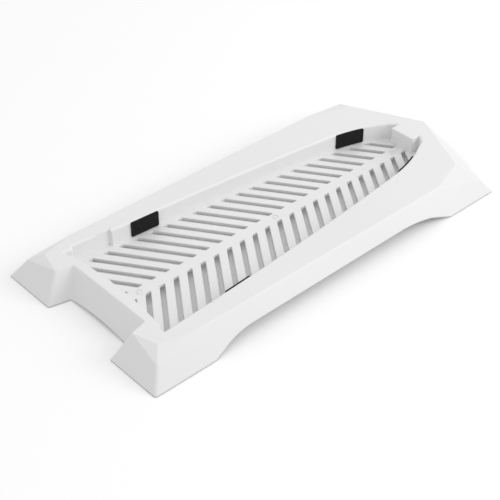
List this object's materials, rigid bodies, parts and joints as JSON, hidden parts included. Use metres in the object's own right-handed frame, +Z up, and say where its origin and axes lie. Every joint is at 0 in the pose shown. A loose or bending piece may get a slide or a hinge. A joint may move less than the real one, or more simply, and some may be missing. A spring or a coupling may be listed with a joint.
{
  "type": "game console vertical stand",
  "caption": "Low white moulded stand with a tapering recess, chevron vents in its floor and cushion pads, which holds a game console upright.",
  "frame": {"origin": "middle of the stand's bounding box, on the surface it stands on", "axes": "+Y from the front feet to the pointed rear end, +X to the right seen from the front, +Z up"},
  "size_m": [0.1436, 0.3124, 0.0186],
  "materials": {
    "white_plastic": "fine satin moulded",
    "black_foam": "matt closed-cell pad",
    "black_rubber": "matt"
  },
  "bodies": {
    "root": {"stand_body": "white_plastic", "side_pad_front_right": "black_foam", "side_pad_front_left": "black_foam", "side_pad_rear_right": "black_foam", "side_pad_rear_left": "black_foam", "rubber_foot_front_right": "black_rubber", "rubber_foot_front_left": "black_rubber", "rubber_foot_rear_right": "black_rubber", "rubber_foot_rear_left": "black_rubber"}
  },
  "joints": []
}
